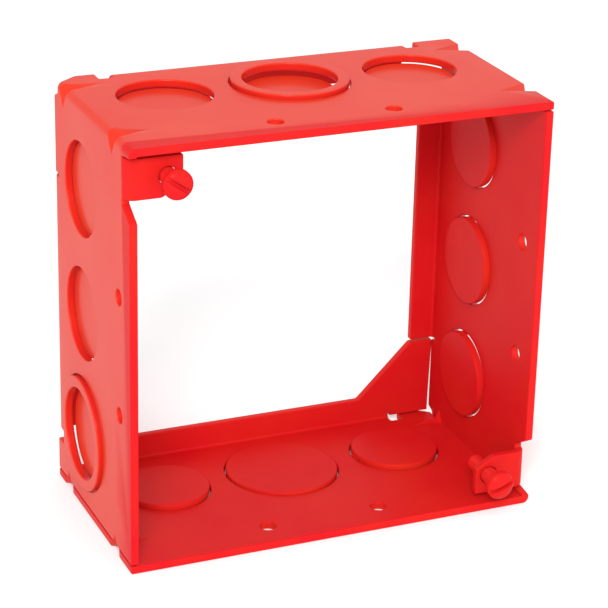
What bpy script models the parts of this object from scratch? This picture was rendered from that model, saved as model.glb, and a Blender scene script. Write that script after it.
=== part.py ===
"""Square extension ring for a 4 inch steel wiring box, painted red for fire alarm circuits.

The ring is two L-shaped sheets, each bent once, that close a square tube open at the front and the
back. Every wall carries three knockouts. Lips and corner gussets fold in at the back, one ear folds
in at the front of each sheet, and a cover screw is threaded part way into each ear.

World frame: X across, Y from the front rim (-Y) to the back face (+Y), Z up, and Z = 0 under the
bottom wall. Wall frame: s along the wall, clockwise seen from the front and 0 at its middle, v back
from the front rim, and w in from the wall's outer face.
"""

import math

import bmesh
import bpy
from mathutils import Matrix, Vector

# Overall sizes, in metres
SIDE = 0.1016
DEPTH = 0.05398
SHEET = 0.0019
CORNER_RADIUS = 0.0016
GAP = 0.0003

# Back lips, gussets and the notches that end each lip
LIP_WIDTH = 0.008
LIP_BEND_RADIUS = 0.0025
LIP_CLEARANCE = 0.0006
LIP_END = 0.0135
LIP_NOTCH_WIDTH = 0.0033
LIP_NOTCH_DEPTH = 0.004
GUSSET_LEG = 0.03015
BACK_TRIM = 0.0015
BACK_CHAMFER_ALONG = 0.0053
BACK_CHAMFER_DEPTH = 0.004
BACK_CHAMFER_HEIGHT = 0.0026

# Front ears, measured from the outer faces that meet at the ear's corner
EAR_REACH = 0.0133
EAR_TOP = 0.0032
EAR_BOTTOM = 0.0127
EAR_RECESS = 0.0027
EAR_BEND_RADIUS = 0.0025
EAR_CHAMFER_ACROSS = 0.0049
EAR_CHAMFER_UP = 0.0028
EAR_RELIEF = 0.0011
EAR_FLARE = 0.0031
SCREW_FROM_EAR_END = 0.00345
SCREW_DOWN = 0.00785

# Cover screw, size 8, and the tapped hole that it runs in
SCREW_RADIUS = 0.00208
SCREW_LENGTH = 0.0127
HEAD_RADIUS = 0.0035
HEAD_HEIGHT = 0.0028
HEAD_RIM = 0.0013
HEAD_STAND = 0.002
SLOT_WIDTH = 0.0011
SLOT_DEPTH = 0.0013
SCREW_POINT = 0.0005

# Knockouts: three to a wall
SMALL_KNOCKOUT_RADIUS = 0.0111
LARGE_KNOCKOUT_RADIUS = 0.0141
KNOCKOUT_FROM_CORNER = 0.0203
KNOCKOUT_FROM_BACK = 0.01998
RING_PROUD = 0.001
PUSHED_IN = {"top": 0.0019, "right": 0.0013, "bottom": 0.0012, "left": 0.0016}
PUSHED_IN_OTHERWISE = {("bottom", "b"): 0.0008, ("right", "c"): 0.0016}

# Small holes near the front rim, and the dents pressed over the corners
RIM_HOLE_RADIUS = 0.0019
RIM_HOLE_FROM_FRONT = 0.00775
RIM_HOLE_SPACING = 0.0286
DENT_WIDTH_ON_TOP = 0.0062
DENT_WIDTH_ON_SIDE = 0.0056
DENT_FROM_FRONT = 0.0117
DENT_FROM_BACK = 0.008
DENT_ALONG_TOP = 0.0081
DENT_ALONG_SIDE = 0.0048
DENT_DEPTH = 0.0013

OVERRUN = 0.001
ROUND_STEPS = 48
ARC_STEPS = 6
GRID_DECIMALS = 7

HALF = SIDE / 2
FRONT_OF_HEADS = -HEAD_STAND - HEAD_HEIGHT
MIDDLE_OF_DEPTH = (DEPTH + FRONT_OF_HEADS) / 2
KNOCKOUT_S = HALF - KNOCKOUT_FROM_CORNER
KNOCKOUT_V = DEPTH - KNOCKOUT_FROM_BACK
SCREW_ACROSS = EAR_REACH - SCREW_FROM_EAR_END
CENTRE = Matrix.Translation((0, -MIDDLE_OF_DEPTH, HALF))

WALLS = ("top", "right", "bottom", "left")
SLOTS = ("a", "b", "c")
CONCENTRIC = {("top", "b"), ("left", "a")}
LARGE = {("bottom", "b")}

RED_PAINT = (0.62, 0.018, 0.022, 1.0)
PAINTED_ZINC = (0.58, 0.02, 0.022, 1.0)


# Meshes


def clear_scene():
    for old in list(bpy.data.objects):
        bpy.data.objects.remove(old, do_unlink=True)


def paint(name, colour, roughness, metallic):
    material = bpy.data.materials.new(name)
    material.use_nodes = True
    shader = material.node_tree.nodes["Principled BSDF"]
    shader.inputs["Base Color"].default_value = colour
    shader.inputs["Roughness"].default_value = roughness
    shader.inputs["Metallic"].default_value = metallic
    return material


def extrude(bm, points, step):
    """Adds a closed prism whose first end is the outline points and whose sides run along step."""
    start = bm.faces.new([bm.verts.new(p) for p in points])
    grown = bmesh.ops.extrude_face_region(bm, geom=[start])
    moved = [v for v in grown["geom"] if isinstance(v, bmesh.types.BMVert)]
    bmesh.ops.translate(bm, verts=moved, vec=step)


def arc(centre, radius, first, last):
    """Points of an arc, both ends included, with its angles in degrees."""
    angles = [math.radians(first + (last - first) * i / ARC_STEPS) for i in range(ARC_STEPS + 1)]
    return [(centre[0] + radius * math.cos(a), centre[1] + radius * math.sin(a)) for a in angles]


def circle(centre, radius, steps=ROUND_STEPS):
    angles = [2 * math.pi * i / steps for i in range(steps)]
    return [(centre[0] + radius * math.cos(a), centre[1] + radius * math.sin(a)) for a in angles]


def through_wall(bm, frame, outline, w_low, w_high):
    """A prism through a wall: outline in (s, v), sides along w."""
    points = [frame @ Vector((s, v, w_low)) for s, v in outline]
    extrude(bm, points, frame.to_3x3() @ Vector((0, 0, w_high - w_low)))


def along_wall(bm, frame, outline, s_low, s_high):
    """A prism along a wall: outline in (v, w), sides along s."""
    points = [frame @ Vector((s_low, v, w)) for v, w in outline]
    extrude(bm, points, frame.to_3x3() @ Vector((s_high - s_low, 0, 0)))


def across_ring(bm, frame, outline, v_low, v_high):
    """A prism along the ring's depth: outline in (s, w), sides along v."""
    points = [frame @ Vector((s, v_low, w)) for s, w in outline]
    extrude(bm, points, frame.to_3x3() @ Vector((0, v_high - v_low, 0)))


def rectangle(x_low, x_high, y_low, y_high):
    return [(x_low, y_low), (x_high, y_low), (x_high, y_high), (x_low, y_high)]


def new_object(name, bm, material=None, matrix=None):
    """Makes an object of bm, with points on a tenth-micron grid so that shared planes are equal."""
    for vertex in bm.verts:
        vertex.co = [round(value, GRID_DECIMALS) for value in vertex.co]
    bmesh.ops.recalc_face_normals(bm, faces=bm.faces)
    mesh = bpy.data.meshes.new(name)
    bm.to_mesh(mesh)
    bm.free()
    mesh.shade_smooth()
    mesh.set_sharp_from_angle(angle=math.radians(35))
    made = bpy.data.objects.new(name, mesh)
    made.matrix_world = matrix or Matrix.Identity(4)
    bpy.context.collection.objects.link(made)
    if material:
        mesh.materials.append(material)
    return made


def combine(target, operation, name, fill):
    """Adds a Boolean to target, whose other solid is filled in by fill(bm)."""
    bm = bmesh.new()
    fill(bm)
    tool = new_object(name, bm)
    tool.hide_render = True
    tool.display_type = "WIRE"
    boolean = target.modifiers.new(name, "BOOLEAN")
    boolean.operation = operation
    boolean.solver = "EXACT"
    boolean.object = tool


# Frames


def wall_frame(wall):
    """Carries (s, v, w) of a wall into the world."""
    quarter_turns = WALLS.index(wall)
    top = Matrix(((1, 0, 0, 0), (0, 1, 0, 0), (0, 0, -1, HALF), (0, 0, 0, 1)))
    return CENTRE @ Matrix.Rotation(quarter_turns * math.pi / 2, 4, "Y") @ top


def wall_turn(wall):
    """A wall's frame without its place, for a piece whose origin is its own."""
    return wall_frame(wall).to_3x3().to_4x4()


def half_walls(half_turns):
    """The frames of the upright wall and the flat wall of an L-shaped half."""
    upright, flat = (("left", "top"), ("right", "bottom"))[half_turns]
    return wall_frame(upright), wall_frame(flat)


# The L-shaped halves


def l_section():
    """The folded sheet's section in the flat wall's (s, w), from the upright's free end."""
    free_end = SIDE - SHEET - GAP
    corner = arc((-HALF + CORNER_RADIUS, CORNER_RADIUS), CORNER_RADIUS, 180, 270)
    return (
        [(-HALF, free_end)]
        + corner
        + [(HALF, 0), (HALF, SHEET), (-HALF + SHEET, SHEET), (-HALF + SHEET, free_end)]
    )


def past(start, end):
    """The point OVERRUN beyond end on the line from start."""
    line = Vector(end) - Vector(start)
    return tuple(Vector(end) + line.normalized() * OVERRUN)


def ear_notch():
    """What is cut out of the upright's front edge, in (s, v) with s up to the folded corner."""
    floor = EAR_RECESS + EAR_BEND_RADIUS
    low = (HALF - EAR_BOTTOM - EAR_RELIEF, floor)
    high = (HALF - EAR_TOP + GAP, floor)
    low_rim = (low[0] - EAR_FLARE, 0)
    high_rim = (HALF - SHEET - GAP, 0)
    return [past(low, low_rim), low, high, past(high, high_rim)]


def bent_strip(root, face, radius, reach):
    """The (v, w) section of a strip that leaves the wall at v = root and turns in at v = face."""
    back = 1 if face > root else -1
    centre = (face - back * radius, radius)
    outer = arc(centre, radius, 270, 360) if back > 0 else arc(centre, radius, 270, 180)
    inner = arc(centre, radius - SHEET, 360, 270) if back > 0 else arc(centre, radius - SHEET, 180, 270)
    end = [(face, reach), (face - back * SHEET, reach)]
    start = root - back * OVERRUN
    return [(start, 0)] + outer + end + inner + [(start, SHEET)]


def ear_section():
    return bent_strip(EAR_RECESS + EAR_BEND_RADIUS, EAR_RECESS, EAR_BEND_RADIUS, EAR_REACH)


def lip_section():
    return bent_strip(DEPTH - LIP_NOTCH_DEPTH, DEPTH, LIP_BEND_RADIUS, LIP_WIDTH)


def ear_corner():
    """The free corner cut off the ear, in the upright's (s, w)."""
    side = (HALF - EAR_BOTTOM, EAR_REACH - EAR_CHAMFER_ACROSS)
    end = (HALF - EAR_BOTTOM + EAR_CHAMFER_UP, EAR_REACH)
    return [past(end, side), past(side, end), (side[0] - OVERRUN, EAR_REACH + 2 * OVERRUN)]


def flat_lip_span():
    return -HALF + LIP_END, HALF - LIP_END


def upright_lip_span():
    return -HALF + LIP_END, HALF - GUSSET_LEG + LIP_WIDTH - LIP_CLEARANCE


def gusset():
    """The corner gusset, which is one piece with the flat wall's lip, in (s, w)."""
    inside = SHEET + GAP
    relief = LIP_BEND_RADIUS + LIP_CLEARANCE
    relief_start = -HALF + LIP_END - LIP_CLEARANCE
    end = GUSSET_LEG - LIP_WIDTH
    on_upright = (-HALF + LIP_WIDTH, end)
    on_flat = (-HALF + end, LIP_WIDTH)
    return [
        (-HALF + inside, inside),
        (relief_start, inside),
        (relief_start, relief),
        (-HALF + LIP_END + OVERRUN, relief),
        past(on_upright, on_flat),
        on_upright,
        (-HALF + inside, end),
    ]


def flat_back_cut():
    """What is cut out of the flat wall's back edge to make room for the lip's bend, in (s, v)."""
    low, high = flat_lip_span()
    floor = DEPTH - LIP_NOTCH_DEPTH
    return rectangle(low - LIP_NOTCH_WIDTH, high + LIP_NOTCH_WIDTH, floor, DEPTH + OVERRUN)


def upright_back_cut():
    """The same for the upright, whose edge is trimmed from the lip to the folded corner."""
    low, high = upright_lip_span()
    low -= LIP_NOTCH_WIDTH
    high += LIP_CLEARANCE
    floor = DEPTH - LIP_NOTCH_DEPTH
    trimmed = DEPTH - BACK_TRIM
    past_back = DEPTH + OVERRUN
    return [
        (low, floor),
        (high, floor),
        (high, trimmed),
        (HALF + OVERRUN, trimmed),
        (HALF + OVERRUN, past_back),
        (low, past_back),
    ]


def back_chamfer():
    """The cut across the folded corner's back end, in the flat wall's (s, v)."""
    side = (-HALF, DEPTH - BACK_CHAMFER_DEPTH)
    back = (-HALF + BACK_CHAMFER_ALONG, DEPTH)
    return [past(back, side), past(side, back), (-HALF - OVERRUN, DEPTH + 2 * OVERRUN)]


def dent(bm, frame, v, corner, reach, width):
    """A wedge that starts reach from the corner and deepens towards it, so that it meets the next
    wall's wedge DENT_DEPTH under both faces."""
    out = 1 if corner > 0 else -1
    run = reach + OVERRUN
    deep = DENT_DEPTH * run / (reach - DENT_DEPTH)
    half_width = width / 2 * run / reach
    tip = Vector((corner - out * reach, v, 0))
    far = Vector((corner + out * OVERRUN, v, 0))
    top = [tip, far + Vector((0, half_width, 0)), far - Vector((0, half_width, 0))]
    points = top + [p - Vector((0, 0, OVERRUN)) for p in top] + [far + Vector((0, 0, deep))]
    bmesh.ops.convex_hull(bm, input=[bm.verts.new(frame @ p) for p in points])


def dents(bm, walls, reach, width):
    for wall in walls:
        for corner in (-HALF, HALF):
            for v in (DENT_FROM_FRONT, DEPTH - DENT_FROM_BACK):
                dent(bm, wall_frame(wall), v, corner, reach, width)


def make_half(name, half_turns, material):
    upright, flat = half_walls(half_turns)
    bm = bmesh.new()
    across_ring(bm, flat, l_section(), 0, DEPTH)
    half = new_object(name, bm, material)

    def edges(bm):
        through_wall(bm, upright, ear_notch(), -OVERRUN, SHEET + OVERRUN)
        through_wall(bm, upright, upright_back_cut(), -OVERRUN, SHEET + OVERRUN)
        through_wall(bm, flat, flat_back_cut(), -OVERRUN, SHEET + OVERRUN)

    def chamfer(bm):
        through_wall(bm, flat, back_chamfer(), -OVERRUN, BACK_CHAMFER_HEIGHT)

    def ear(bm):
        along_wall(bm, upright, ear_section(), HALF - EAR_BOTTOM, HALF - EAR_TOP)

    def lips(bm):
        along_wall(bm, upright, lip_section(), *upright_lip_span())
        along_wall(bm, flat, lip_section(), *flat_lip_span())

    def corner_gusset(bm):
        across_ring(bm, flat, gusset(), DEPTH - SHEET, DEPTH)

    def holes(bm):
        wall_holes(bm, half_turns)
        centre = (HALF - SCREW_DOWN, SCREW_ACROSS)
        hole = circle(centre, SCREW_RADIUS + GAP, ROUND_STEPS // 2)
        across_ring(bm, upright, hole, 0, EAR_RECESS + SHEET + OVERRUN)
        across_ring(bm, upright, ear_corner(), 0, EAR_RECESS + SHEET + OVERRUN)

    def flat_dents(bm):
        dents(bm, ("top", "bottom"), DENT_ALONG_TOP, DENT_WIDTH_ON_TOP)

    def upright_dents(bm):
        dents(bm, ("left", "right"), DENT_ALONG_SIDE, DENT_WIDTH_ON_SIDE)

    combine(half, "DIFFERENCE", name + "_edges", edges)
    combine(half, "DIFFERENCE", name + "_chamfer", chamfer)
    combine(half, "UNION", name + "_ear", ear)
    combine(half, "UNION", name + "_lips", lips)
    combine(half, "UNION", name + "_gusset", corner_gusset)
    combine(half, "DIFFERENCE", name + "_holes", holes)
    combine(half, "DIFFERENCE", name + "_flat_dents", flat_dents)
    combine(half, "DIFFERENCE", name + "_upright_dents", upright_dents)


def wall_holes(bm, half_turns):
    """The knockout openings and the small rim holes of a half's two walls."""
    for wall in (("left", "top"), ("right", "bottom"))[half_turns]:
        frame = wall_frame(wall)
        for slot in SLOTS:
            outline = circle((slot_s(slot), KNOCKOUT_V), opening_radius(wall, slot))
            through_wall(bm, frame, outline, -OVERRUN, SHEET + OVERRUN)
        for s in (-RIM_HOLE_SPACING / 2, RIM_HOLE_SPACING / 2):
            outline = circle((s, RIM_HOLE_FROM_FRONT), RIM_HOLE_RADIUS, ROUND_STEPS // 2)
            through_wall(bm, frame, outline, -OVERRUN, SHEET + OVERRUN)


# Knockouts


def slot_s(slot):
    return (SLOTS.index(slot) - 1) * KNOCKOUT_S


def slug_radius(wall, slot):
    nominal = LARGE_KNOCKOUT_RADIUS if (wall, slot) in LARGE else SMALL_KNOCKOUT_RADIUS
    return nominal - GAP


def opening_radius(wall, slot):
    large = (wall, slot) in LARGE | CONCENTRIC
    return LARGE_KNOCKOUT_RADIUS if large else SMALL_KNOCKOUT_RADIUS


def tie_side(slot):
    """Which side of a knockout its tie is on: the side away from the nearest corner."""
    return 1 if SLOTS.index(slot) < 1 else -1


def tie_place(wall, slot, radius, w):
    """Where a knockout's tie is: the edge that it bends about, and the piece's origin."""
    tie = slot_s(slot) + tie_side(slot) * radius
    return Matrix.Translation(wall_frame(wall) @ Vector((tie, KNOCKOUT_V, w)))


def make_slug(wall, slot, material):
    """The punched disc, whose outer face was pushed in; it swings in about the wall's inner edge."""
    tie_radius = SMALL_KNOCKOUT_RADIUS if (wall, slot) in CONCENTRIC else opening_radius(wall, slot)
    tie_w = SHEET + GAP
    low = PUSHED_IN_OTHERWISE.get((wall, slot), PUSHED_IN[wall]) - tie_w
    bm = bmesh.new()
    outline = circle((-tie_side(slot) * tie_radius, 0), slug_radius(wall, slot))
    through_wall(bm, wall_turn(wall), outline, low, low + SHEET)
    place = tie_place(wall, slot, tie_radius, tie_w)
    new_object(f"{wall}_knockout_{slot}", bm, material, place)


def make_ring(wall, slot, material):
    """The outer ring of a concentric knockout: pressed out a little, round the inner disc."""
    bm = bmesh.new()
    turn = wall_turn(wall)
    centre = (-tie_side(slot) * LARGE_KNOCKOUT_RADIUS, 0)
    ends = []
    for w in (0, SHEET):
        for radius in (SMALL_KNOCKOUT_RADIUS, LARGE_KNOCKOUT_RADIUS - GAP):
            ends.append([bm.verts.new(turn @ Vector((*p, w))) for p in circle(centre, radius)])
    inner_low, outer_low, inner_high, outer_high = ends
    loops = (inner_low, outer_low, outer_high, inner_high)
    for first, second in zip(loops, loops[1:] + loops[:1]):
        for i in range(ROUND_STEPS):
            j = (i + 1) % ROUND_STEPS
            bm.faces.new((first[i], first[j], second[j], second[i]))
    place = tie_place(wall, slot, LARGE_KNOCKOUT_RADIUS, -RING_PROUD)
    new_object(f"{wall}_knockout_ring_{slot}", bm, material, place)


# Cover screws


def screw_profile():
    """Radius and depth of the turned screw, from the head's crown to the point."""
    crown = HEAD_HEIGHT - HEAD_RIM
    domed = [
        (HEAD_RADIUS * math.sin(a), -HEAD_HEIGHT + crown * (1 - math.cos(a)))
        for a in (math.radians(90 * i / ARC_STEPS) for i in range(1, ARC_STEPS + 1))
    ]
    return domed + [
        (HEAD_RADIUS, 0),
        (SCREW_RADIUS, 0),
        (SCREW_RADIUS, SCREW_LENGTH - SCREW_POINT),
        (SCREW_RADIUS - SCREW_POINT, SCREW_LENGTH),
    ]


def make_screw(name, half_turns, material):
    """A slotted round-head screw whose origin is on its axis, under the head."""
    steps = ROUND_STEPS // 2
    bm = bmesh.new()
    rings = []
    for radius, y in screw_profile():
        rings.append([bm.verts.new((p[0], y, p[1])) for p in circle((0, 0), radius, steps)])
    for first, second in zip(rings, rings[1:]):
        for i in range(steps):
            j = (i + 1) % steps
            bm.faces.new((first[i], first[j], second[j], second[i]))
    bm.faces.new(rings[0])
    bm.faces.new(rings[-1])
    upright, _ = half_walls(half_turns)
    centre = upright @ Vector((HALF - SCREW_DOWN, -HEAD_STAND, SCREW_ACROSS))
    screw = new_object(name, bm, material, Matrix.Translation(centre))

    def slot(bm):
        reach = HEAD_RADIUS + OVERRUN
        outline = rectangle(-reach, reach, -SLOT_WIDTH / 2, SLOT_WIDTH / 2)
        low = -HEAD_HEIGHT - OVERRUN
        points = [centre + Vector((x, low, z)) for x, z in outline]
        extrude(bm, points, Vector((0, OVERRUN + SLOT_DEPTH, 0)))

    combine(screw, "DIFFERENCE", name + "_slot", slot)


def build():
    clear_scene()
    sheet = paint("red_painted_sheet", RED_PAINT, 0.3, 0.0)
    slug_paint = paint("red_painted_slug", RED_PAINT, 0.32, 0.0)
    screw_paint = paint("red_painted_screw", PAINTED_ZINC, 0.35, 0.0)
    make_half("upper_half", 0, sheet)
    make_half("lower_half", 1, sheet)
    for wall in WALLS:
        for slot in SLOTS:
            make_slug(wall, slot, slug_paint)
            if (wall, slot) in CONCENTRIC:
                make_ring(wall, slot, slug_paint)
    make_screw("upper_cover_screw", 0, screw_paint)
    make_screw("lower_cover_screw", 1, screw_paint)


build()
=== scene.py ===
# %% [markdown]
# # A red steel extension ring, as its maker would build it
# The object is a square ring of folded steel that deepens a wiring box. It is two L-shaped sheets,
# each punched flat and then folded, with round knockouts, one ear at the front of each sheet, and a
# screw in each ear. This lesson builds it in the same order: punch, fold, dent, paint.
#
# The frame comes first. It gives the body that each piece rides on and the box that each piece fills,
# so most sizes are read from it and not typed again.

# %% Load the frame
import math

import bmesh
import bpy
from mathutils import Matrix, Vector


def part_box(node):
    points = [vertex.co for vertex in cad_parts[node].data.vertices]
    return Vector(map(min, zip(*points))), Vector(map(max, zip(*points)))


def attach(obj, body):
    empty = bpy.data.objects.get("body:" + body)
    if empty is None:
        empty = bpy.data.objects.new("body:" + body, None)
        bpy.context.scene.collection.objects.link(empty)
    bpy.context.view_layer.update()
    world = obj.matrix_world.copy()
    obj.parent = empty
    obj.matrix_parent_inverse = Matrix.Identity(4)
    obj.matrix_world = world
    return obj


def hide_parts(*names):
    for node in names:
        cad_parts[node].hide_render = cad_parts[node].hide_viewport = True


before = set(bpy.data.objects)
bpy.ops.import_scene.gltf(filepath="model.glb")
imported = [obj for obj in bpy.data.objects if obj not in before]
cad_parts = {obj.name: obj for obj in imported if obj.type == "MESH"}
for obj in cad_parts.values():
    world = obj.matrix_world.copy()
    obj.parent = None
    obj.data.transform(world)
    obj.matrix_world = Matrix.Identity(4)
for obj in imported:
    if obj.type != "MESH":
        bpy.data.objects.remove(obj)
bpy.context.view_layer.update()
MM = 0.001

# %% [markdown]
# ## Sizes
# A sheet-metal drawing is in millimetres, and so is this one. The outside sizes and the sheet come from
# the frame's boxes. The rest are the drawing's own: how wide a lip is, how far an ear reaches, where a
# notch ends. Everything is measured from an outer face or from a fold, as a press brake's stop is.
#
# The gusset's edge is let a little way into the wall beside it, because two rounded edges that only
# meet would leave daylight between them. It stops short of the corner's fold.

# %% Sizes read from the frame, in millimetres
half_low, half_high = (Vector(corner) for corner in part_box("upper_half"))
slug_low, slug_high = (Vector(corner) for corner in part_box("top_knockout_a"))
SIDE = (half_high.x - half_low.x) / MM
DEPTH = (half_high.y - half_low.y) / MM
FRONT = half_low.y / MM
SHEET = (slug_high.z - slug_low.z) / MM
HALF = SIDE / 2
GAP = 0.3
print(f"side {SIDE:.2f}, depth {DEPTH:.2f}, sheet {SHEET:.2f} mm")

# %% Sizes of the drawing, in millimetres
CORNER_RADIUS = 1.6
LIP_WIDTH = 8.0
LIP_RADIUS = 2.5
LIP_CLEARANCE = 0.6
LIP_END = 13.5
NOTCH_WIDTH = 3.3
NOTCH_DEPTH = 4.0
GUSSET_LEG = 30.15
GUSSET_SINK = 0.1
BACK_TRIM = 1.5
CHAMFER_ALONG = 5.3
CHAMFER_DEPTH = 4.0
CHAMFER_HEIGHT = 2.6
CHAMFER_RISE_ON_FLAT = 1.2
CHAMFER_RISE = 0.3
CHAMFER_STEP = 0.8
CORNER_EASE = 0.45
EAR_REACH = 13.3
EAR_TOP = 3.2
EAR_BOTTOM = 12.7
EAR_RECESS = 2.7
EAR_RADIUS = 2.5
EAR_CHAMFER_ACROSS = 4.9
EAR_CHAMFER_UP = 2.8
EAR_RELIEF = 1.1
EAR_FLARE = 3.1
SCREW_DOWN = 7.85
SCREW_ACROSS = 9.85
SCREW_HOLE = 2.12
RIM_HOLE = 1.9
RIM_HOLE_BACK = 7.75
RIM_HOLE_SPACING = 28.6
KNOCKOUT_BACK = DEPTH - 19.98
KNOCKOUT_PITCH = 30.5
DENT_BACKS = (11.7, DEPTH - 8.0)
DENT_HALF_WIDTH = 3.1
DENT_ON_FLAT = 8.1
DENT_ON_UPRIGHT = 4.8
DENT_DEPTH = 1.5
EDGE_RADIUS = 0.34

# %% [markdown]
# ## From the flat blank to the folded sheet
# A real half starts as a flat blank. Here the blank is drawn with two numbers: u runs along the sheet,
# up the upright wall, round the fold and along the flat wall, and v runs from the front rim to the back.
# Both are measured on the outer skin, so the punched holes keep their size when the sheet is folded.
#
# The folds could be modelled as solids joined with Booleans, but each joint would leave a seam and an
# edge too sharp to catch the light. Moving the points of one blank keeps the paint's skin in one piece.

# %% Places on the blank
FREE_END = -HALF + SHEET + GAP
FOLD_START = HALF - CORNER_RADIUS - FREE_END
FOLD_LENGTH = CORNER_RADIUS * math.pi / 2
LIP_START = DEPTH - LIP_RADIUS
LIP_ARC = LIP_RADIUS * math.pi / 2
EAR_START = EAR_RECESS + EAR_RADIUS
EAR_ARC = EAR_RADIUS * math.pi / 2


def on_upright(s):
    """The blank's u for a place s on the upright wall; s is 0 at mid wall and HALF at the fold."""
    return s - FREE_END


def on_flat(s):
    """The blank's u for a place s on the flat wall; s is -HALF at the fold."""
    return FOLD_START + FOLD_LENGTH + s + HALF - CORNER_RADIUS


def on_lip(w):
    """The blank's v for a place w inwards on a folded lip."""
    return LIP_START + LIP_ARC + w - LIP_RADIUS


def on_ear(w):
    """The blank's v for a place w inwards on the folded ear."""
    return EAR_START - EAR_ARC - (w - EAR_RADIUS)


print(f"blank: {on_flat(HALF):.1f} mm long, {on_lip(LIP_WIDTH) - on_ear(EAR_REACH):.1f} mm wide")

# %% The blank's outline
UPRIGHT_LIP = (-HALF + LIP_END, HALF - GUSSET_LEG + LIP_WIDTH - LIP_CLEARANCE)
FLAT_LIP = (-HALF + LIP_END, HALF - LIP_END)


def front_edge():
    """The rim from the upright's free end to the flat wall's, with the notch and the ear."""
    low = HALF - EAR_BOTTOM
    high = HALF - EAR_TOP
    ear = [
        (low, EAR_START),
        (low, on_ear(EAR_REACH - EAR_CHAMFER_ACROSS)),
        (low + EAR_CHAMFER_UP, on_ear(EAR_REACH)),
        (high, on_ear(EAR_REACH)),
        (high, EAR_START),
    ]
    notch_low = [(low - EAR_RELIEF - EAR_FLARE, 0), (low - EAR_RELIEF, EAR_START)]
    notch_high = [(high + GAP, EAR_START), (HALF - SHEET - GAP, 0)]
    upright = [(FREE_END, 0)] + notch_low + ear + notch_high
    return [(on_upright(s), v) for s, v in upright] + [(on_flat(HALF), 0)]


def back_edge():
    """The back edge the other way, with the notches, both lips and the gusset."""
    floor = DEPTH - NOTCH_DEPTH
    inside = SHEET - GUSSET_SINK
    relief = LIP_RADIUS + LIP_CLEARANCE
    gusset_end = GUSSET_LEG - LIP_WIDTH
    low, high = FLAT_LIP
    flat = [
        (HALF, DEPTH),
        (high + NOTCH_WIDTH, DEPTH),
        (high + NOTCH_WIDTH, floor),
        (high, floor),
        (high, on_lip(LIP_WIDTH)),
        (-HALF + gusset_end, on_lip(LIP_WIDTH)),
        (-HALF + LIP_WIDTH, on_lip(gusset_end)),
        (-HALF + inside, on_lip(gusset_end)),
        (-HALF + inside, on_lip(inside)),
        (low - LIP_CLEARANCE, on_lip(inside)),
        (low - LIP_CLEARANCE, on_lip(relief)),
        (low, on_lip(relief)),
        (low, floor),
        (low - NOTCH_WIDTH, floor),
        (low - NOTCH_WIDTH, DEPTH),
        (-HALF + CHAMFER_ALONG, DEPTH),
        (-HALF + CORNER_RADIUS, DEPTH - CHAMFER_DEPTH + CHAMFER_RISE_ON_FLAT),
    ]
    low, high = UPRIGHT_LIP
    upright = [
        (HALF - CORNER_RADIUS, DEPTH - CHAMFER_DEPTH),
        (HALF - CHAMFER_HEIGHT, DEPTH - CHAMFER_DEPTH + CHAMFER_RISE),
        (HALF - CHAMFER_HEIGHT - CHAMFER_STEP, DEPTH - BACK_TRIM),
        (high + LIP_CLEARANCE, DEPTH - BACK_TRIM),
        (high + LIP_CLEARANCE, floor),
        (high, floor),
        (high, on_lip(LIP_WIDTH)),
        (low, on_lip(LIP_WIDTH)),
        (low, floor),
        (low - NOTCH_WIDTH, floor),
        (low - NOTCH_WIDTH, DEPTH),
        (FREE_END, DEPTH),
    ]
    return [(on_flat(s), v) for s, v in flat] + [(on_upright(s), v) for s, v in upright]


def eased(points, radius):
    """Rounds the corners of a closed outline, each by no more than a third of its shorter side."""
    made = []
    for before, here, after in zip(points[-1:] + points[:-1], points, points[1:] + points[:1]):
        back = Vector(before) - Vector(here)
        ahead = Vector(after) - Vector(here)
        reach = min(radius, back.length / 3, ahead.length / 3)
        start = Vector(here) + back.normalized() * reach
        end = Vector(here) + ahead.normalized() * reach
        for t in (0, 1 / 3, 2 / 3, 1):
            made.append(tuple(start.lerp(Vector(here), t).lerp(Vector(here).lerp(end, t), t)))
    return made


SPAN_SLACK = 0.1
LIP_SPANS = [
    tuple(on_upright(s + slack) for s, slack in zip(UPRIGHT_LIP, (-SPAN_SLACK, SPAN_SLACK))),
    tuple(on_flat(s + slack) for s, slack in zip(FLAT_LIP, (-SPAN_SLACK, SPAN_SLACK))),
]
EAR_SPAN = (on_upright(HALF - EAR_BOTTOM - SPAN_SLACK), on_upright(HALF - EAR_TOP + SPAN_SLACK))
print("lip spans on the blank:", [tuple(round(u, 1) for u in span) for span in LIP_SPANS])
blank_outline = eased(front_edge() + back_edge(), CORNER_EASE)
print("outline points:", len(blank_outline))

# %% [markdown]
# ## Punching the blank
# Blender fills a flat curve and leaves its inner loops open, so one curve makes the sheet with every
# hole in it. Its bevel rounds each cut edge a little, as shears and two coats of paint do. That small
# radius matters more than any texture: it is what draws the bright line along a rim.

# %% A flat plate with rounded edges
ROUND_STEPS = 96


def ring_of(centre, radius, steps=ROUND_STEPS):
    angles = [2 * math.pi * i / steps for i in range(steps)]
    return [(centre[0] + radius * math.cos(a), centre[1] + radius * math.sin(a)) for a in angles]


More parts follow.
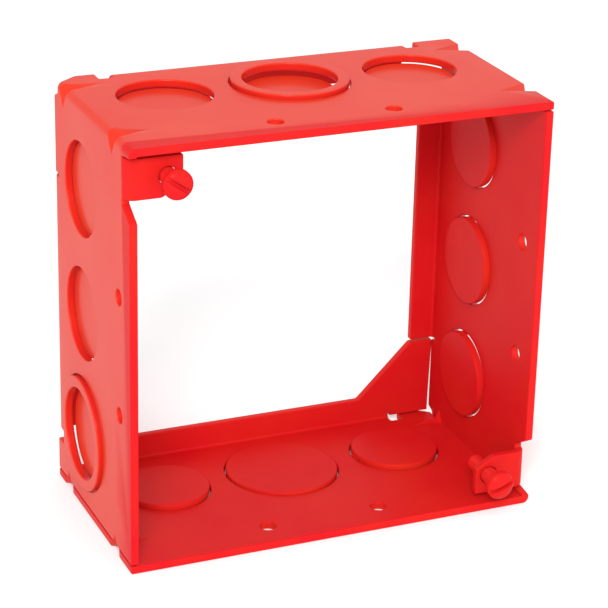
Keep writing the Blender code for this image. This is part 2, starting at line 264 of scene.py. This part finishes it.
def plate(loops, thickness, edge=EDGE_RADIUS):
    """A bmesh of a flat plate in millimetres, centred on z = 0; loops are its outline and holes."""
    curve = bpy.data.curves.new("plate", "CURVE")
    curve.dimensions = "2D"
    curve.fill_mode = "BOTH"
    curve.extrude = thickness / 2 - edge
    curve.bevel_depth = edge
    curve.bevel_resolution = 2
    curve.offset = -edge
    for loop in loops:
        spline = curve.splines.new("POLY")
        spline.points.add(len(loop) - 1)
        for point, (x, y) in zip(spline.points, loop):
            point.co = (x, y, 0, 1)
        spline.use_cyclic_u = True
    holder = bpy.data.objects.new("plate", curve)
    bpy.context.collection.objects.link(holder)
    evaluated = holder.evaluated_get(bpy.context.evaluated_depsgraph_get())
    bm = bmesh.new()
    bm.from_mesh(evaluated.to_mesh())
    evaluated.to_mesh_clear()
    bpy.data.objects.remove(holder)
    bmesh.ops.remove_doubles(bm, verts=bm.verts, dist=0.001)
    bmesh.ops.recalc_face_normals(bm, faces=bm.faces)
    return bm


def hole_loops(walls):
    """The knockout openings, rim holes and screw hole of a half, on the blank."""
    loops = [ring_of((on_upright(HALF - SCREW_DOWN), on_ear(SCREW_ACROSS)), SCREW_HOLE, 32)]
    for wall, along in zip(walls, (on_upright, on_flat)):
        for slot, s in zip("abc", (-KNOCKOUT_PITCH, 0, KNOCKOUT_PITCH)):
            loops.append(ring_of((along(s), KNOCKOUT_BACK), opening_radius(wall, slot)))
        for s in (-RIM_HOLE_SPACING / 2, RIM_HOLE_SPACING / 2):
            loops.append(ring_of((along(s), RIM_HOLE_BACK), RIM_HOLE, 32))
    return loops


def node_span(node):
    low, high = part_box(node)
    return Vector(high) - Vector(low)


def opening_radius(wall, slot):
    """A knockout's opening: as wide as what fills it, with a clearance all round."""
    ring = f"{wall}_knockout_ring_{slot}"
    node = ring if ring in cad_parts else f"{wall}_knockout_{slot}"
    return max(node_span(node)) / MM / 2 + GAP


test_plate = plate([blank_outline] + hole_loops(("left", "top")), SHEET)
print("blank faces:", len(test_plate.faces), "open edges:", sum(1 for e in test_plate.edges if e.is_boundary))
test_plate.free()

# %% [markdown]
# ## Folding
# A fold needs rows of points to bend along, so the blank is first cut across at every fold and dent.
# Then each point is moved: first the lips and the ear turn in, then the sheet turns round its corner.
# Inside the corner the sheet is thicker than the bend's radius, so its inner skin meets in a sharp line.

# %% Cut lines for the folds and the dents
BEND_STEPS = 6
BESIDE_FOLD = 1.2


def cut(bm, point, normal, near=None):
    """Cuts the plate along a line; near limits it to the faces inside a box in (u, v)."""
    faces = list(bm.faces)
    if near:
        low_u, high_u, low_v, high_v = near
        faces = [f for f in faces if touches(f, low_u, high_u, low_v, high_v)]
    geometry = faces + list({e for f in faces for e in f.edges} | {v for f in faces for v in f.verts})
    bmesh.ops.bisect_plane(
        bm, geom=geometry, dist=0.0005, plane_co=(*point, 0), plane_no=(*normal, 0)
    )


def touches(face, low_u, high_u, low_v, high_v):
    us = [v.co.x for v in face.verts]
    vs = [v.co.y for v in face.verts]
    return max(us) > low_u and min(us) < high_u and max(vs) > low_v and min(vs) < high_v


def cut_folds(bm):
    """Cuts the rows that the corner, the lips and the ear bend along, and no further."""
    ear = (*EAR_SPAN, on_ear(EAR_REACH), EAR_START)
    for i in range(BEND_STEPS + 1):
        part = i / BEND_STEPS
        cut(bm, (FOLD_START + FOLD_LENGTH * part, 0), (1, 0))
        cut(bm, (0, EAR_START - EAR_ARC * part), (0, 1), ear)
        for low, high in LIP_SPANS:
            cut(bm, (0, LIP_START + LIP_ARC * part), (0, 1), (low, high, LIP_START - 1, on_lip(LIP_WIDTH)))
    for beside in (FOLD_START - BESIDE_FOLD, FOLD_START + FOLD_LENGTH + BESIDE_FOLD):
        cut(bm, (beside, 0), (1, 0))


def dent_corners():
    """Each dent on the blank: the u of its corner, the way it runs from there, and how far."""
    return (
        (on_upright(HALF), -1, DENT_ON_UPRIGHT),
        (on_flat(-HALF), 1, DENT_ON_FLAT),
        (on_flat(HALF), -1, DENT_ON_FLAT),
        (on_upright(-HALF), 1, DENT_ON_UPRIGHT),
    )


def cut_dents(bm):
    """Cuts each dent's valley and its two sides."""
    for u, way, reach in dent_corners():
        for v in DENT_BACKS:
            ends = sorted((u - way * 0.2, u + way * (reach + 0.5)))
            box = (*ends, v - DENT_HALF_WIDTH, v + DENT_HALF_WIDTH)
            cut(bm, (u, v), (0, 1), box)
            for side in (-1, 1):
                start = (u, v + side * DENT_HALF_WIDTH)
                cut(bm, start, (side * DENT_HALF_WIDTH, way * reach), box)


# %% Where a point of the blank goes
def turn_in(v, t, start, radius, way):
    """Folds (v, depth t under the outer skin) inwards past start; way is 1 at the back, -1 in front."""
    past = (v - start) * way
    arc = radius * math.pi / 2
    if past <= 0:
        return v, t
    if past < arc:
        angle = past / radius
        return start + way * (radius - t) * math.sin(angle), radius - (radius - t) * math.cos(angle)
    return start + way * (radius - t), radius + past - arc


def folded(u, v, t):
    """The place (s, v, w) in the flat wall's frame of a blank's point t under its outer skin."""
    v, w = edges_turned_in(u, v, t)
    if u <= FOLD_START:
        s = u + FREE_END
        return Vector((-HALF + w, v, HALF - (min(s, HALF - w) if w < LIP_RADIUS else s)))
    bend = (u - FOLD_START) / CORNER_RADIUS
    if bend < math.pi / 2:
        left = max(CORNER_RADIUS - w, 0)
        middle = max(CORNER_RADIUS, w)
        return Vector((-HALF + middle - left * math.cos(bend), v, middle - left * math.sin(bend)))
    s = u - FOLD_START - FOLD_LENGTH - HALF + CORNER_RADIUS
    return Vector((max(s, -HALF + w) if w < LIP_RADIUS else s, v, w))


def edges_turned_in(u, v, t):
    """The (v, w) of a blank's point once the lips and the ear are folded."""
    if v > LIP_START and (v > DEPTH + 0.5 or any(low <= u <= high for low, high in LIP_SPANS)):
        return turn_in(v, t, LIP_START, LIP_RADIUS, 1)
    if v < EAR_START and EAR_SPAN[0] <= u <= EAR_SPAN[1]:
        return turn_in(v, t, EAR_START, EAR_RADIUS, -1)
    return v, t


def pressed(place):
    """Pushes a place in where the dents cross the ring's four long corners."""
    s, v, w = place
    side = 1 if s > 0 else -1
    down = 1 if w < HALF else -1
    across = (HALF - side * s) / DENT_ON_FLAT
    along = (w if down > 0 else SIDE - w) / DENT_ON_UPRIGHT
    off = min(abs(v - back) for back in DENT_BACKS) / DENT_HALF_WIDTH
    depth = DENT_DEPTH * max(0, 1 - max(across, along) - off)
    return Vector((s - side * depth, v, w + down * depth))


# %% Fold one half
def in_metres(place):
    """A place in the flat wall's frame of the upper half, as the ring's own metres."""
    s, v, w = place
    return Vector((s, FRONT + v, SIDE - w)) * MM


SHARP_ANGLE = math.radians(38)
# The share of the clear coat and of the painted sheen that the sheet's cut edges get.
CUT_EDGE_SHEEN = 0.35
HALF_TURN = (
    Matrix.Translation((0, 0, HALF * MM))
    @ Matrix.Rotation(math.pi, 4, "Y")
    @ Matrix.Translation((0, 0, -HALF * MM))
)


def as_object(name, bm, material=None):
    """Makes a smooth-shaded object of bm, whose flat faces keep flat normals."""
    mesh = bpy.data.meshes.new(name)
    bm.to_mesh(mesh)
    bm.free()
    mesh.shade_smooth()
    mesh.set_sharp_from_angle(angle=SHARP_ANGLE)
    made = bpy.data.objects.new(name, mesh)
    bpy.context.collection.objects.link(made)
    if material:
        mesh.materials.append(material)
    flatten = made.modifiers.new("flat faces stay flat", "WEIGHTED_NORMAL")
    flatten.weight = 80
    flatten.keep_sharp = True
    return made


def painted_sheen_weight(under):
    """The clear coat's weight and the painted sheen at a depth under the outer skin: full on the skin, part
    on cut edges, none inside.
    """
    if under <= EDGE_RADIUS:
        return 1.0
    return CUT_EDGE_SHEEN if under < SHEET - EDGE_RADIUS else 0.0


def fold_half(name, walls, place):
    bm = plate([blank_outline] + hole_loops(walls), SHEET)
    cut_folds(bm)
    cut_dents(bm)
    coat_sheen = bm.verts.layers.float.new("coat_and_painted_sheen")
    for vert in bm.verts:
        under = SHEET / 2 - vert.co.z
        # The outer skin gets the clear coat and a painted sheen, cut edges part of both; the ear's face and
        # the inner skin get neither and keep the deeper red.
        vert[coat_sheen] = painted_sheen_weight(under) if vert.co.y > EAR_START - 0.05 else 0.0
        vert.co = place @ in_metres(pressed(folded(vert.co.x, vert.co.y, under)))
    bmesh.ops.remove_doubles(bm, verts=bm.verts, dist=0.000004)
    bmesh.ops.triangulate(bm, faces=[f for f in bm.faces if len(f.verts) > 4])
    bmesh.ops.recalc_face_normals(bm, faces=bm.faces)
    return as_object(name, bm)


upper_sheet = fold_half("upper_sheet", ("left", "top"), Matrix.Identity(4))
lower_sheet = fold_half("lower_sheet", ("right", "bottom"), HALF_TURN)
for sheet, node in ((upper_sheet, "upper_half"), (lower_sheet, "lower_half")):
    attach(sheet, "ring")
    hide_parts(node)
    print(sheet.name, [round(d / MM, 2) for d in sheet.dimensions], "vertices", len(sheet.data.vertices))

# %% [markdown]
# ## Knockouts
# A knockout is a disc that the press has sheared almost all the way round and left hanging by one
# small tie, so that a screwdriver can punch it out for a cable. On two walls a second cut runs round
# the first and leaves a ring that can be knocked out too, for a larger fitting.
#
# Each disc could be a plain cylinder. The plate maker above gives it the same rounded edges as the
# sheet instead, and those edges catch the light as thin bright arcs, which is how a knockout shows.

# %% Place a punched piece in its wall
TURNS = {"top": 0, "right": 90, "bottom": 180, "left": 270}


def wall_place(node, wall):
    """Carries a plate centred on the origin to where a node is, with +z out of its wall."""
    low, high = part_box(node)
    return Matrix.Translation((low + high) / 2) @ Matrix.Rotation(math.radians(TURNS[wall]), 4, "Y")


def pushed_in(node, wall):
    """How far a node's outer face is under its wall's outer face, in millimetres."""
    low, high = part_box(node)
    ways = {
        "top": SIDE * MM - high.z,
        "right": HALF * MM - high.x,
        "bottom": low.z,
        "left": low.x + HALF * MM,
    }
    return ways[wall] / MM


print("top a is pushed in", round(pushed_in("top_knockout_a", "top"), 2), "mm")

# %% The tie that a knockout hangs by
TIE_WIDTH = 2.4
TIE_THICKNESS = 0.8


def add_tie(bm, side, radius, depth):
    """A strip from a disc's edge, pushed in by depth, to the wall's inner face."""
    outer = SHEET / 2
    inner = depth - SHEET / 2
    ends = ((radius - 0.5, outer - 0.15), (radius + GAP, min(inner + TIE_THICKNESS, outer)))
    corners = [
        bm.verts.new((side * x, across, z))
        for x, top in ends
        for across in (-TIE_WIDTH / 2, TIE_WIDTH / 2)
        for z in (top - TIE_THICKNESS, top)
    ]
    bmesh.ops.convex_hull(bm, input=corners)


def punched(node, wall, slot, loops, radius, tilt=0.0):
    """A knockout's disc or ring, riding on the body of its own name."""
    side = 1 if slot == "a" else -1
    bm = plate(loops, SHEET)
    # Each disc's outer face gets the clear coat and a painted sheen, its cut edge part of both.
    coat_sheen = bm.verts.layers.float.new("coat_and_painted_sheen")
    for vert in bm.verts:
        vert[coat_sheen] = painted_sheen_weight(SHEET / 2 - vert.co.z)
    add_tie(bm, side, radius, pushed_in(node, wall))
    hinge = Matrix.Translation((side * radius, 0, 0))
    lean = hinge @ Matrix.Rotation(math.radians(side * tilt), 4, "Y") @ hinge.inverted()
    place = wall_place(node, wall) @ Matrix.Scale(MM, 4) @ lean
    bmesh.ops.transform(bm, matrix=place, verts=bm.verts)
    made = as_object(node + "_disc", bm)
    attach(made, node)
    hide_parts(node)
    return made


# %% Punch the discs and the rings
LEAN = {"left_knockout_a": 1.5, "bottom_knockout_b": 0.6, "right_knockout_c": 1.2}
slugs = []
for wall in TURNS:
    for slot in "abc":
        node = f"{wall}_knockout_{slot}"
        radius = max(node_span(node)) / MM / 2
        slugs.append(punched(node, wall, slot, [ring_of((0, 0), radius)], radius, LEAN.get(node, 0)))
        ring = f"{wall}_knockout_ring_{slot}"
        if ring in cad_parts:
            outer = max(node_span(ring)) / MM / 2
            loops = [ring_of((0, 0), outer), ring_of((0, 0), radius + GAP)]
            slugs.append(punched(ring, wall, slot, loops, outer))
print("punched pieces:", len(slugs))

# %% [markdown]
# ## Cover screws
# A cover is held on by two slotted round-head screws, threaded part way into the ears. A screw is
# turned work, so its head and its shank are rows of points spun about an axis. The thread is the same
# spin with a radius that rises and falls along a helix, which is quicker than sweeping a profile and
# never crosses itself. The slot is cut with a Boolean, as a saw cuts it, and then its edges are eased.

# %% Turn a screw
THREAD_PITCH = 0.794
THREAD_DEPTH = 0.36
HEAD_RADIUS = 3.45
HEAD_HEIGHT = 2.8
HEAD_RIM = 1.2
SHANK_RADIUS = 2.05
SLOT_WIDTH = 1.15
SLOT_DEPTH = 1.35


def turned(bm, rows, steps=40):
    """Spins (radius, y) rows about the y axis, closed at both ends."""
    rings = []
    for radius_at, y in rows:
        angles = [2 * math.pi * i / steps for i in range(steps)]
        rings.append(
            [bm.verts.new((radius_at(a) * math.cos(a), y, radius_at(a) * math.sin(a))) for a in angles]
        )
    for first, second in zip(rings, rings[1:]):
        for i in range(steps):
            j = (i + 1) % steps
            bm.faces.new((first[i], first[j], second[j], second[i]))
    bm.faces.new(rings[0])
    bm.faces.new(rings[-1])
    bmesh.ops.recalc_face_normals(bm, faces=bm.faces)


def plain(radius):
    return lambda angle: radius


def helix(y, fade):
    """The thread's radius round the shank at y; fade takes the thread away near the ends."""

    def radius(angle):
        turns = (y / THREAD_PITCH - angle / (2 * math.pi)) % 1
        return SHANK_RADIUS - THREAD_DEPTH * (1 - abs(2 * turns - 1)) - THREAD_DEPTH * (1 - fade)

    return radius


def head_rows():
    crown = HEAD_HEIGHT - HEAD_RIM
    dome = [
        (plain(HEAD_RADIUS * math.sin(a)), -HEAD_HEIGHT + crown * (1 - math.cos(a)))
        for a in (math.radians(step) for step in range(6, 91, 7))
    ]
    return dome + [(plain(HEAD_RADIUS), -0.25), (plain(HEAD_RADIUS - 0.25), 0), (plain(1.2), 0)]


def shank_rows(length):
    count = int(length / THREAD_PITCH * 8)
    rows = []
    for i in range(count + 1):
        y = length * i / count
        rows.append((helix(y, min(1, (length - y) / 0.9 + 0.2)), y - 0.1))
    return rows


# %% Make both screws
def make_screw(node, slot_angle):
    low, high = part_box(node)
    length = (high.y - low.y) / MM - HEAD_HEIGHT
    seat = Vector(((low.x + high.x) / 2, low.y + HEAD_HEIGHT * MM, (low.z + high.z) / 2))
    bm = bmesh.new()
    turned(bm, head_rows())
    head = as_object(node + "_head", bm)
    bm = bmesh.new()
    turned(bm, shank_rows(length + 0.1))
    shank = as_object(node + "_thread", bm)
    bm = bmesh.new()
    bmesh.ops.create_cube(bm, size=1)
    saw = as_object("slot saw", bm)
    saw.scale = (4 * HEAD_RADIUS, 2 * SLOT_DEPTH, SLOT_WIDTH)
    saw.location = (0, -HEAD_HEIGHT, 0)
    cut_slot = head.modifiers.new("saw the slot", "BOOLEAN")
    cut_slot.solver = "EXACT"
    cut_slot.object = saw
    ease = head.modifiers.new("ease the slot", "BEVEL")
    ease.width = 0.12
    ease.segments = 2
    ease.limit_method = "ANGLE"
    ease.angle_limit = math.radians(40)
    settled = head.evaluated_get(bpy.context.evaluated_depsgraph_get())
    head.data = bpy.data.meshes.new_from_object(settled)
    head.modifiers.clear()
    bpy.data.objects.remove(saw)
    for piece in (head, shank):
        turn = Matrix.Rotation(math.radians(slot_angle), 4, "Y")
        piece.data.transform(Matrix.Translation(seat) @ turn @ Matrix.Scale(MM, 4))
        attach(piece, node)
    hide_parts(node)
    return [head, shank]


screws = make_screw("upper_cover_screw", 35) + make_screw("lower_cover_screw", -20)
print("screw pieces:", [piece.name for piece in screws])

# %% [markdown]
# ## Red enamel
# Outer faces are also painted a lighter, more orange red than inner faces: a painted sheen on top of the real
# clear coat.
# The steel is plated, punched and folded, then painted a glossy fire red. Three things make such paint
# look real. Its gloss is a clear dielectric skin over a deep colour, it is never quite flat but has a
# fine orange peel, and thin sheet ripples a little so that long reflections waver.
#
# The colour could come from a picture, but then every edge and hole would need its own mapping. Noise in
# the object's own space needs no mapping, flows round every fold, and is the same from every side.

# %% A socket that Python can do sums with
class Value:
    """An output of a material's node; a sum on it adds Math nodes, and node() adds any other."""

    def __init__(self, tree, socket):
        self.tree = tree
        self.socket = socket

    def node(self, kind, settings, inputs, output=0):
        made = self.tree.nodes.new(kind)
        for key, setting in settings.items():
            setattr(made, key, setting)
        for key, value in inputs.items():
            if isinstance(value, Value):
                self.tree.links.new(value.socket, made.inputs[key])
            else:
                made.inputs[key].default_value = value
        return Value(self.tree, made.outputs[output])

    def math(self, operation, *terms):
        return self.node("ShaderNodeMath", {"operation": operation}, dict(enumerate(terms)))

    def __add__(self, other):
        return self.math("ADD", self, other)

    def __sub__(self, other):
        return self.math("SUBTRACT", self, other)

    def __rsub__(self, other):
        return self.math("SUBTRACT", other, self)

    def __mul__(self, other):
        return self.math("MULTIPLY", self, other)

    def clamped(self):
        return self.node("ShaderNodeClamp", {}, {"Value": self})

    def tint(self, first, second):
        """A colour that goes from first to second as this value goes from 0 to 1."""
        return self.node("ShaderNodeMix", {"data_type": "RGBA"}, {0: self, 6: first, 7: second}, 2)

    def noise(self, scale, detail=2.0):
        """Noise of this place, from 0 to 1, with scale bumps to a metre."""
        return self.node("ShaderNodeTexNoise", {}, {"Vector": self, "Scale": scale, "Detail": detail})

    def bump(self, distance):
        """A normal bent as if this value stood distance metres proud."""
        return self.node("ShaderNodeBump", {}, {"Height": self, "Distance": distance}, 0)

    __radd__ = __add__
    __rmul__ = __mul__


# %% Mix the enamel
def enamel(name, deep, mottle_and_sheen_red, gloss, ripple):
    """A red paint: the first colour is its deep red, the second a lighter red that random mottle and the
    painted sheen on outer faces tint towards; gloss is its roughness, ripple in metres.
    """
    material = bpy.data.materials.new(name)
    material.use_nodes = True
    tree = material.node_tree
    shader = tree.nodes["Principled BSDF"]
    shader.inputs["Specular IOR Level"].default_value = 0.05
    shader.inputs["Coat Roughness"].default_value = 0.16
    place = Value(tree, tree.nodes.new("ShaderNodeTexCoord").outputs["Object"])
    cloud = place.noise(55.0, 3.0)
    peel = place.noise(900.0, 1.0)
    wave = place.noise(38.0, 1.0)
    coat_sheen = place.node("ShaderNodeAttribute", {"attribute_name": "coat_and_painted_sheen"}, {}, 2)
    # Random cloud mottle and a painted sheen: where the attribute marks outer faces, the colour is tinted
    # toward the lighter red.
    mottle_and_sheen_mix = (cloud * 0.7 - 0.15 + coat_sheen * 0.6).clamped()
    rough = gloss + cloud * 0.08 + peel * 0.04
    relief = wave * ripple + peel * 0.000006
    for key, value in (
        ("Base Color", mottle_and_sheen_mix.tint(deep, mottle_and_sheen_red)),
        ("Roughness", rough),
        ("Coat Weight", coat_sheen * (cloud * 0.16 + 0.15)),
        ("Normal", relief.bump(1.0)),
    ):
        tree.links.new(value.socket, shader.inputs[key])
    return material


# The lighter, more orange red is partly random mottle and partly a painted sheen standing for the white
# studio's reflection on outer faces.
DEEP_RED = (0.54, 0.005, 0.011, 1.0)
MOTTLE_AND_SHEEN_RED = (0.60, 0.034, 0.010, 1.0)
sheet_enamel = enamel("fire red enamel on folded sheet", DEEP_RED, MOTTLE_AND_SHEEN_RED, 0.34, 0.0005)
slug_enamel = enamel("fire red enamel on punched slugs", DEEP_RED, MOTTLE_AND_SHEEN_RED, 0.34, 0.0003)
screw_enamel = enamel("fire red enamel over plated screws", DEEP_RED, MOTTLE_AND_SHEEN_RED, 0.3, 0.0001)
for pieces, material in (
    ([upper_sheet, lower_sheet], sheet_enamel),
    (slugs, slug_enamel),
    (screws, screw_enamel),
):
    for piece in pieces:
        piece.data.materials.clear()
        piece.data.materials.append(material)
for node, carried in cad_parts.items():
    carried.data.materials.clear()
    carried.data.materials.append(screw_enamel if "screw" in node else slug_enamel)
print("enamels:", [material.name for material in bpy.data.materials if material.users])

# %% [markdown]
# ## Studio
# A part for a catalogue stands on a plain pale floor in soft light. One large lamp above and to the left
# gives the form its light side and dark side, and a bright, even surround fills the shadows. The long
# lens keeps the square ring looking square.

# %% Floor
def pale_floor():
    bpy.ops.mesh.primitive_circle_add(vertices=96, radius=3.0, fill_type="NGON")
    floor = bpy.context.object
    floor.name = "pale_floor"
    material = bpy.data.materials.new("pale matt floor")
    material.use_nodes = True
    shader = material.node_tree.nodes["Principled BSDF"]
    shader.inputs["Base Color"].default_value = (0.92, 0.92, 0.92, 1.0)
    shader.inputs["Roughness"].default_value = 0.9
    shader.inputs["Specular IOR Level"].default_value = 0.1
    floor.data.materials.append(material)
    return floor


print("floor:", pale_floor().dimensions[:2])

# %% Light
def soft_lamp(name, at, aim, size, power):
    lamp = bpy.data.lights.new(name, "AREA")
    lamp.shape = "DISK"
    lamp.size = size
    lamp.energy = power
    holder = bpy.data.objects.new(name, lamp)
    bpy.context.collection.objects.link(holder)
    holder.location = at
    holder.rotation_euler = (Vector(aim) - Vector(at)).to_track_quat("-Z", "Y").to_euler()
    return holder


RING_MIDDLE = (0.0, 0.0, HALF * MM)
soft_lamp("key lamp", (-0.45, -0.9, 0.75), RING_MIDDLE, 0.45, 12.0)
soft_lamp("fill lamp", (0.5, -0.9, 0.3), RING_MIDDLE, 0.6, 1.5)
surround = bpy.data.worlds.new("bright surround")
surround.use_nodes = True
surround.node_tree.nodes["Background"].inputs["Color"].default_value = (1.0, 1.0, 1.0, 1.0)
surround.node_tree.nodes["Background"].inputs["Strength"].default_value = 1.0
bpy.context.scene.world = surround
bpy.context.scene.view_settings.view_transform = "Standard"

# %% Camera
AZIMUTH = math.radians(-23.54)
ELEVATION = math.radians(22.64)
ROLL = math.radians(1.40)
AIM = Vector((-0.0071, -0.0183, 0.0579))
DISTANCE = 0.53463
LENS = 139.9

camera = bpy.data.cameras.new("catalogue camera")
camera.lens = LENS
camera.sensor_width = 36.0
eye = bpy.data.objects.new("catalogue camera", camera)
bpy.context.collection.objects.link(eye)
back = Vector(
    (
        math.sin(AZIMUTH) * math.cos(ELEVATION),
        -math.cos(AZIMUTH) * math.cos(ELEVATION),
        math.sin(ELEVATION),
    )
)
eye.location = AIM + back * DISTANCE
look = Matrix.Rotation(AZIMUTH, 4, "Z") @ Matrix.Rotation(math.pi / 2 - ELEVATION, 4, "X")
eye.rotation_euler = (look @ Matrix.Rotation(ROLL, 4, "Z")).to_euler()
bpy.context.scene.camera = eye
print("camera stands", round(eye.location.length, 3), "m from the ring's foot")
